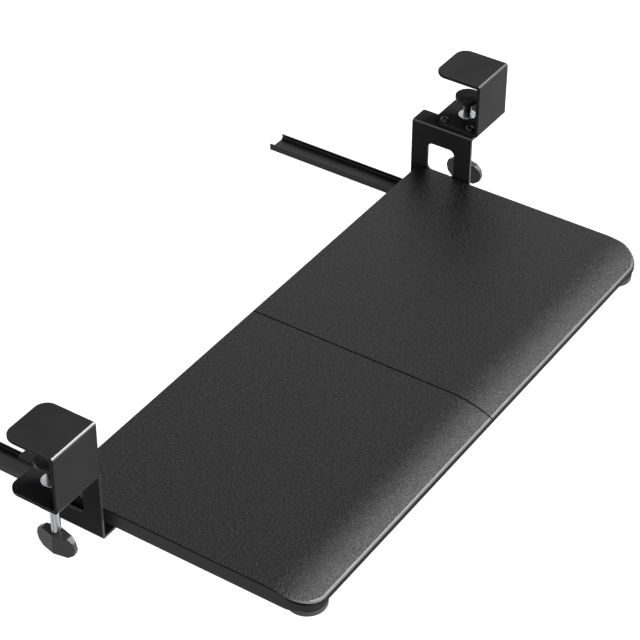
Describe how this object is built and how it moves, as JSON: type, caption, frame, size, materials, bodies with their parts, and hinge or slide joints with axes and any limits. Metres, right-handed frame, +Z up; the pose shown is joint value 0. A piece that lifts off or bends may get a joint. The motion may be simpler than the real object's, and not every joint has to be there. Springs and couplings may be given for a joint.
{
  "type": "clamp-on under-desk keyboard tray",
  "caption": "Pull-out black tray with a curved front edge that rolls on ball slides under C-clamps gripping a table's front edge.",
  "frame": {"origin": "midway between the two clamps, on the upper front edge of the table top that they grip: z = 0 is the under side of the top liners, y = 0 the back of the front liners", "axes": "+X to the user's right along the table edge, +Y to the back under the table, +Z up"},
  "size_m": [0.833, 0.4865, 0.156],
  "materials": {
    "board_film": "fibreboard in black PVC film with a fine leather grain",
    "black_steel": "satin black powder coat",
    "slide_steel": "black electro-coated sheet steel",
    "black_fastener": "black oxide steel",
    "zinc_steel": "bright zinc plate",
    "ball_steel": "polished bearing balls",
    "screw_steel": "bright zinc plated thread",
    "knob_plastic": "satin black moulded nylon",
    "pad_steel": "black oxide steel",
    "liner_rubber": "smooth black rubber sheet",
    "pad_rubber": "black rubber",
    "bumper_rubber": "dark grey rubber"
  },
  "bodies": {
    "clamp_frame": {"clamp_bracket_left": "black_steel", "clamp_bracket_right": "black_steel", "clamp_liner_left": "liner_rubber", "clamp_liner_right": "liner_rubber", "clamp_bush_left": "zinc_steel", "clamp_bush_right": "zinc_steel", "hanger_left": "black_steel", "hanger_right": "black_steel", "hanger_bolts_left": "black_fastener", "hanger_bolts_right": "black_fastener", "hanger_nuts_left": "black_fastener", "hanger_nuts_right": "black_fastener", "slide_channel_left": "slide_steel", "slide_channel_right": "slide_steel", "channel_rivets_left": "black_fastener", "channel_rivets_right": "black_fastener"},
    "tray": {"tray_board_left": "board_film", "tray_board_right": "board_film", "splice_plate_front": "zinc_steel", "splice_plate_back": "zinc_steel", "splice_screws": "zinc_steel", "bumper_left": "bumper_rubber", "bumper_right": "bumper_rubber", "bumper_screws": "zinc_steel", "rail_left": "slide_steel", "rail_right": "slide_steel", "rail_screws_left": "zinc_steel", "rail_screws_right": "zinc_steel"},
    "cage_left": {"ball_cage_left": "zinc_steel", "balls_left": "ball_steel"},
    "pad_left": {"pressure_pad_left": "pad_steel", "pad_face_left": "pad_rubber"},
    "screw_left": {"clamp_screw_left": "screw_steel", "wing_knob_left": "knob_plastic"},
    "cage_right": {"ball_cage_right": "zinc_steel", "balls_right": "ball_steel"},
    "pad_right": {"pressure_pad_right": "pad_steel", "pad_face_right": "pad_rubber"},
    "screw_right": {"clamp_screw_right": "screw_steel", "wing_knob_right": "knob_plastic"}
  },
  "joints": [
    {"name": "tray_slide", "type": "slide", "parent": "clamp_frame", "child": "tray", "axis": [0, 1, 0], "range_m": [0, 0.189]},
    {"name": "cage_left_roll", "type": "slide", "parent": "clamp_frame", "child": "cage_left", "axis": [0, 1, 0], "range_m": [0, 0.0945]},
    {"name": "clamp_left_travel", "type": "slide", "parent": "clamp_frame", "child": "pad_left", "axis": [0, 0, 1], "range_m": [-0.012, 0.0225]},
    {"name": "clamp_left_turn", "type": "hinge", "parent": "pad_left", "child": "screw_left", "pos_m": [-0.3845, 0.0275, -0.1], "axis": [0, 0, 1], "range_deg": [-2880, 5400]},
    {"name": "cage_right_roll", "type": "slide", "parent": "clamp_frame", "child": "cage_right", "axis": [0, 1, 0], "range_m": [0, 0.0945]},
    {"name": "clamp_right_travel", "type": "slide", "parent": "clamp_frame", "child": "pad_right", "axis": [0, 0, 1], "range_m": [-0.012, 0.0225]},
    {"name": "clamp_right_turn", "type": "hinge", "parent": "pad_right", "child": "screw_right", "pos_m": [0.3845, 0.0275, -0.1], "axis": [0, 0, 1], "range_deg": [-2880, 5400]}
  ],
  "couplings": [
    {"joint": "cage_left_roll", "follows": "tray_slide", "ratio": 0.5},
    {"joint": "clamp_left_turn", "follows": "clamp_left_travel", "rad_per_m": 4188.8},
    {"joint": "cage_right_roll", "follows": "tray_slide", "ratio": 0.5},
    {"joint": "clamp_right_turn", "follows": "clamp_right_travel", "rad_per_m": 4188.8}
  ]
}
